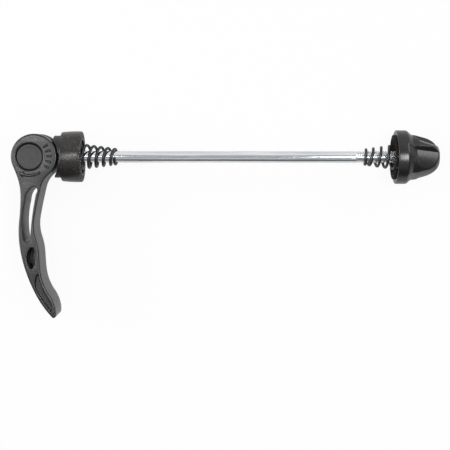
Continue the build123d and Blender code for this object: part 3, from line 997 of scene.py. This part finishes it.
@dataclass
class AdjustingNut:
    """The nut: a fluted plastic grip round a serrated steel insert."""

    face_x: float = 129.7
    core_radius: float = 9.3
    core_round: float = 0.3
    core_back_x: float = 135.4
    core_grooves: int = 48
    groove_depth: float = 0.5
    ring_margin: float = 0.15  # between the mouth and the face's first row
    mouth_radius: float = 7.9  # of the hollow's countersunk mouth
    mouth_depth: float = 2.2
    mouth_round: float = 0.1
    hollow_radius: float = 6.3
    hollow_depth: float = 4.0
    hidden_round: float = 0.05
    boss_radius: float = 4.3
    boss_end_x: float = 142.9
    bore_radius: float = 2.55
    cover_x: float = 130.7
    pocket_end_x: float = 145.4
    pocket_radius: float = 5.1
    core_gap: float = 0.02
    lip_round: float = 0.1
    flange_radius: float = 11.25
    flange_length: float = 4.4
    flange_round: float = 0.5
    shoulder_length: float = 2.0
    shoulder_rows: int = 16
    nose_radius: float = 9.6
    nose_hole: float = 2.8
    nose_rows: int = 70
    columns: int = 400
    # The nose's turned profile, as offsets along X from the shoulder's end and radii
    nose: Points = field(default_factory=lambda: [
        (0, 9.6), (2.5, 9.35), (5.8, 8.5), (7.6, 8.0), (8.9, 7.2), (9.7, 6.6), (10.5, 5.7), (11.3, 4.6),
        (11.8, 3.6), (11.95, 2.8),
    ])
    flutes: int = 5
    flute_start: float = 7.8
    flute_floor: float = 8.08
    flute_tilt: float = 19.0
    flute_turn: float = 21.0
    flute_root: float = 0.45
    flute_lean: float = 35.0
    flute_slope: float = 22.5
    flute_crown: float = 19.0  # radius of the floor's curve across the flute
    crown_span: Pair = (-8.5, 6.0)  # the part of the floor that is curved
    least_facing: float = 0.03  # rays that meet a plane more flatly than this miss it
    missed: float = 60.0  # how far a ray goes then
    end_blend: float = 0.3  # between a flute's floor and its sloped end
    wall_blend: float = 0.25
    edge_blend: float = 0.4  # between a flute and the outside

    def core_surface(self) -> Surface:
        """The insert: a turned ring and boss, with V grooves across the ring's face.

        Returns:
            The surface.
        """
        face, floor, corner = self.face_x, self.face_x + self.hollow_depth, self.core_round
        ring = np.linspace(self.mouth_radius + self.ring_margin, self.core_radius - corner, FACE_ROWS)
        profile = soft_corners([
            (face + self.mouth_depth, self.hollow_radius, corner),
            (face, self.mouth_radius, self.mouth_round),
            *((face, radius, ROW_CUT) for radius in ring), (face, self.core_radius, corner),
            (self.core_back_x, self.core_radius, self.hidden_round),
            (self.core_back_x, self.boss_radius, self.hidden_round),
            (self.boss_end_x, self.boss_radius, EDGE_CUT), (self.boss_end_x, self.bore_radius, EDGE_CUT),
            (floor, self.bore_radius, corner), (floor, self.hollow_radius, corner),
        ])
        grid = turn(profile, around(self.core_grooves * GROOVE_COLUMNS))
        inner = self.mouth_radius + self.mouth_round
        return wrapped(closed_rows(serrate(grid, face, -1, self.core_grooves, inner, self.groove_depth)))

    def flute_angle(self, step: int) -> float:
        """How far one flute is turned about the axis, in radians."""
        return radians(-self.flute_turn + 360 / self.flutes * step)

    def flute_planes(self, step: int) -> tuple[Array, Array]:
        """The three planes that bound one flute: its floor, its sloped end and its leaning wall.

        Args:
            step: which flute.

        Returns:
            The planes' normals, which point into the flute, as 3 by 3, and their distances from the origin.
        """
        slope, lean, tilt = radians(self.flute_slope), radians(self.flute_lean), radians(self.flute_tilt)
        normals = np.array([(0, 0, 1), (sin(slope), 0, cos(slope)), (0, -cos(lean), sin(lean))])
        offsets = np.array([0, 0, -cos(lean) * self.flute_root])
        tipped = np.array([(cos(tilt), 0, sin(tilt)), (0, 1, 0), (-sin(tilt), 0, cos(tilt))])
        turned = self.flute_angle(step)
        spun = np.array([(1, 0, 0), (0, cos(turned), -sin(turned)), (0, sin(turned), cos(turned))])
        foot = np.array([self.cover_x + self.flute_start, 0, self.flute_floor])
        offsets = offsets + normals @ tipped.T @ foot
        return normals @ tipped.T @ spun.T, offsets

    def fluted(self, profile: Array, angles: Array) -> Array:
        """The grip's outside: along each ray from the axis, the nearer of the profile and the flutes' planes.

        Each floor is curved across its flute: it falls by the square of the distance over twice the radius.

        Args:
            profile: (x, radius) points of the turned outside.
            angles: the grid's columns, in radians.

        Returns:
            The grid, as n by the number of angles by 3.
        """
        x, radius = profile[:, :1], profile[:, 1:]
        for step in range(self.flutes):
            normals, offsets = self.flute_planes(step)
            facing = (normals[:, 1:2] * np.cos(angles) + normals[:, 2:] * np.sin(angles))[:, None]
            reach = (offsets[:, None] - normals[:, :1] * x[:, 0])[:, :, None]
            least = self.least_facing
            entry = np.where(facing > least, reach / np.maximum(facing, least), self.missed)
            across = entry[0] * np.cos(angles - self.flute_angle(step)) - self.flute_root
            entry[0] -= np.clip(across, *self.crown_span) ** 2 / (2 * self.flute_crown)
            floor = soft_max(soft_max(entry[0], entry[1], self.end_blend), entry[2], self.wall_blend)
            radius = soft_min(radius, np.maximum(floor, self.nose_hole), self.edge_blend)
        return spin(x, radius, angles)

    def nose_profile(self) -> Array:
        """The nose's profile: points spread evenly along its knots, each then the mean of its neighbours.

        Returns:
            (x, radius) points from the shoulder's end, as n by 2.
        """
        knots = np.array(self.nose)
        run = np.concatenate([[0], np.cumsum(np.hypot(*np.diff(knots, axis=0).T))])
        steps = np.linspace(0, 1, self.nose_rows) * run[-1]
        nose = np.stack([np.interp(steps, run, knots[:, side]) for side in (0, 1)], axis=1)
        nose[1:-1] = (nose[:-2] + 2 * nose[1:-1] + nose[2:]) / 4
        return nose

    def grip_surface(self) -> Surface:
        """The grip: the fluted outside, closed by a turned inside that leaves room for the insert.

        Returns:
            The surface.
        """
        flange_end = self.cover_x + self.flange_length
        nose_x = flange_end + self.shoulder_length
        inner = self.core_radius + self.core_gap
        corners = [
            (self.cover_x, inner, self.lip_round), (self.cover_x, self.flange_radius, self.flange_round),
            (flange_end, self.flange_radius, self.flange_round), (nose_x, self.nose_radius, 0.0),
        ]
        # The last corner only aims the one before it, and the shoulder's first rows lie in that rounding
        flange = soft_corners(corners)[:-CORNER_STEPS - 1]
        fall = np.array([self.shoulder_length, self.nose_radius - self.flange_radius])
        shoulder = np.linspace(0, 1, self.shoulder_rows)[3:-1, None] * fall + (flange_end, self.flange_radius)
        nose = self.nose_profile() + (nose_x, 0)
        angles = around(self.columns)
        outside = self.fluted(np.concatenate([flange, shoulder, nose]), angles)
        inside = np.array([
            (self.pocket_end_x, self.nose_hole), (self.pocket_end_x, self.pocket_radius),
            (self.core_back_x, self.pocket_radius), (self.core_back_x, inner),
        ])
        return wrapped(closed_rows(np.concatenate([outside, turn(inside, angles)])))

    def dress(self) -> None:
        """Builds the insert and the grip, and finishes the hidden nylon ring."""
        insert = self.core_surface().piece("serrated_insert", 30.0)
        fit_piece(insert, "nut", "nut_core", CORE_OXIDE)
        fit_piece(self.grip_surface().piece("fluted_grip", 45.0), "nut", "nut_cover", NUT_ABS)
        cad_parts["lock_ring"].material_slots[0].material = RING_NYLON.material()
        LOG.info("lock_ring keeps its solid: %s", RING_NYLON.name)


def look(place: Place, aim: Place, roll: float = 0.0) -> Matrix:
    """The matrix of a camera or lamp that looks from a place at an aim, with +Y up in its view.

    Args:
        place: where it stands.
        aim: what it looks at.
        roll: its turn about the view's axis.

    Returns:
        The matrix, in metres.
    """
    ahead = np.subtract(aim, place) / np.linalg.norm(np.subtract(aim, place))
    right = np.cross(ahead, (0, 1, 0))
    right /= np.linalg.norm(right)
    up = np.cross(right, ahead)
    c, s = cos(radians(roll)), sin(radians(roll))
    matrix = np.eye(4)
    matrix[:3, :3] = np.stack([c * right + s * up, c * up - s * right, -ahead], axis=1)
    matrix[:3, 3] = np.array(place) * MM
    return Matrix(matrix.tolist())


def stand(name: str, data: bpy.types.ID, matrix: Matrix) -> bpy.types.Object:
    """Puts a lamp or a camera into the scene.

    Args:
        name: the object's name.
        data: its lamp or camera.
        matrix: where it stands and looks.

    Returns:
        The new object.
    """
    made = bpy.data.objects.new(name, data)
    made.matrix_world = matrix
    bpy.context.scene.collection.objects.link(made)
    return made


@dataclass(frozen=True)
class Lamp:
    """A soft rectangular lamp that points at the middle of the rod."""

    name: str
    place: Place
    size: Pair  # width and height
    watts: float
    aim: Place = (60.0, -15.0, 0.0)

    def light(self) -> None:
        """Adds the lamp to the scene."""
        data = bpy.data.lights.new(self.name, "AREA")
        data.shape = "RECTANGLE"
        data.size, data.size_y = self.size[0] * MM, self.size[1] * MM
        data.energy = self.watts
        stand(self.name, data, look(self.place, self.aim))


# Three lamps mirror in the lever's eye, its arm and the cap, one in the nut, and the others light the sides
LAMPS = (
    Lamp("left_lamp", (-112, 100, 640), (64, 90), 0.52),
    Lamp("arm_lamp", (-155, -78, 640), (60, 60), 0.2),
    Lamp("cap_lamp", (-205, 12, 640), (40, 50), 0.22),
    Lamp("right_lamp", (270, 5, 640), (170, 220), 2.1),
    Lamp("front_lamp", (60, -400, 560), (600, 400), 0.3),
    Lamp("right_back_lamp", (600, 380, 320), (320, 320), 1.5),
    Lamp("left_side_lamp", (-600, 60, 260), (200, 500), 4.2),
)


@dataclass
class Studio:
    """A pale floor, soft lamps and the camera."""

    floor_z: float = -11.26
    floor_half: float = 9000.0
    floor_colour: str = "#cacaca"
    camera_white: float = 0.93  # how far the floor is plain white to the camera, with the shadow in the rest
    mirror_white: float = 0.22  # and in reflections
    room_light: Pair = (0.42, 1.0)  # strength overhead and on the +Y side
    room_rise: Pair = (0.2, 0.85)  # the rays' Y between which it grows
    dark_light: Pair = (0.43, 1.0)  # what is left of it on the -Y side and overhead
    dark_rise: Pair = (-0.85, -0.1)
    camera_place: Place = (58.4, 5.0, 470.0)
    camera_aim: Place = (59.5235, -28.6, 0.0)
    camera_roll: float = 0.08
    camera_clip_m: Pair = (0.01, 20.0)
    sensor: float = 36.0
    lens: float = 89.6  # 1120 pixels of a 450 pixel image

    def floor(self) -> None:
        """A large plane: matt and pale to light, near white to the camera and paler in reflections."""
        ground = bpy.data.materials.new("pale_paper")
        tree = empty_tree(ground)
        ray = add_node(tree, "ShaderNodeLightPath").outputs
        mirrored = add_node(
            tree, "ShaderNodeMath", {"operation": "MAXIMUM"},
            {0: ray["Is Glossy Ray"], 1: ray["Is Transmission Ray"]},
        ).outputs[0]
        shares = ((ray["Is Camera Ray"], self.camera_white), (mirrored, self.mirror_white))
        whites = [
            add_node(tree, "ShaderNodeMath", {"operation": "MULTIPLY", 1: share}, {0: kind}).outputs[0]
            for kind, share in shares
        ]
        white = add_node(tree, "ShaderNodeMath", {"operation": "MAXIMUM"}, dict(enumerate(whites))).outputs[0]
        paper = add_node(tree, "ShaderNodeBsdfDiffuse", {"Color": linear(self.floor_colour)}).outputs[0]
        glow = add_node(tree, "ShaderNodeEmission", {"Strength": 1.0}).outputs[0]
        mixed = add_node(tree, "ShaderNodeMixShader", None, {0: white, 1: paper, 2: glow}).outputs[0]
        add_node(tree, "ShaderNodeOutputMaterial", None, {"Surface": mixed})
        side = np.array([-self.floor_half, self.floor_half])
        x, y = np.meshgrid(side, side)
        plane = Surface()
        plane.grid(np.stack([x, y, np.full_like(x, self.floor_z)], axis=-1))
        made = plane.piece("paper_floor")
        made.data.materials.append(ground)

    def world(self) -> None:
        """A plain room that is brighter on its +Y side, by the Y of each ray, and white to the camera."""
        room = bpy.data.worlds.new("room")
        tree = empty_tree(room)
        ray = add_node(tree, "ShaderNodeTexCoord").outputs["Generated"]
        side = add_node(tree, "ShaderNodeSeparateXYZ", None, {0: ray}).outputs["Y"]
        ramps = ((self.room_rise, self.room_light), (self.dark_rise, self.dark_light))
        factors = [
            add_node(
                tree, "ShaderNodeMapRange",
                {
                    "interpolation_type": "SMOOTHSTEP", "From Min": rise[0], "From Max": rise[1],
                    "To Min": light[0], "To Max": light[1],
                },
                {"Value": side},
            ).outputs[0]
            for rise, light in ramps
        ]
        both = dict(enumerate(factors))
        strength = add_node(tree, "ShaderNodeMath", {"operation": "MULTIPLY"}, both).outputs[0]
        seen = add_node(tree, "ShaderNodeLightPath").outputs["Is Camera Ray"]
        shown = add_node(tree, "ShaderNodeMath", {"operation": "MAXIMUM"}, {0: strength, 1: seen}).outputs[0]
        glow = add_node(tree, "ShaderNodeBackground", {"Color": (1, 1, 1, 1)}, {"Strength": shown})
        add_node(tree, "ShaderNodeOutputWorld", None, {"Surface": glow.outputs[0]})
        bpy.context.scene.world = room

    def camera(self) -> None:
        """The camera above the rod, at the photograph's height and aim."""
        data = bpy.data.cameras.new("camera")
        data.sensor_width = self.sensor
        data.lens = self.lens
        data.clip_start, data.clip_end = self.camera_clip_m
        matrix = look(self.camera_place, self.camera_aim, self.camera_roll)
        bpy.context.scene.camera = stand("camera", data, matrix)

    def build(self) -> None:
        """Sets up the floor, the light and the camera."""
        bpy.context.scene.view_settings.view_transform = "Standard"
        self.floor()
        self.world()
        for lamp in LAMPS:
            lamp.light()
        self.camera()


def main() -> None:
    """Builds the studio and the skewer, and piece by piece."""
    logging.basicConfig(level=logging.INFO, format="%(name)s: %(message)s")
    Studio().build()
    Rod().dress()
    CamLever().dress()
    EyeMarks().dress()
    ClampingCap().dress()
    ConeSpring(
        "lever_coil", "lever_spring", "cap", seat_x=-3.0, heading=1, length=17.4, turns=5.5, start=24.0,
        lean=(0.055, -0.16),
    ).dress()
    ConeSpring(
        "nut_coil", "nut_spring", "nut_spring", seat_x=133.7, heading=-1, length=16.1, turns=4.5, start=260.0,
    ).dress()
    AdjustingNut().dress()


if __name__ == "__main__":
    main()
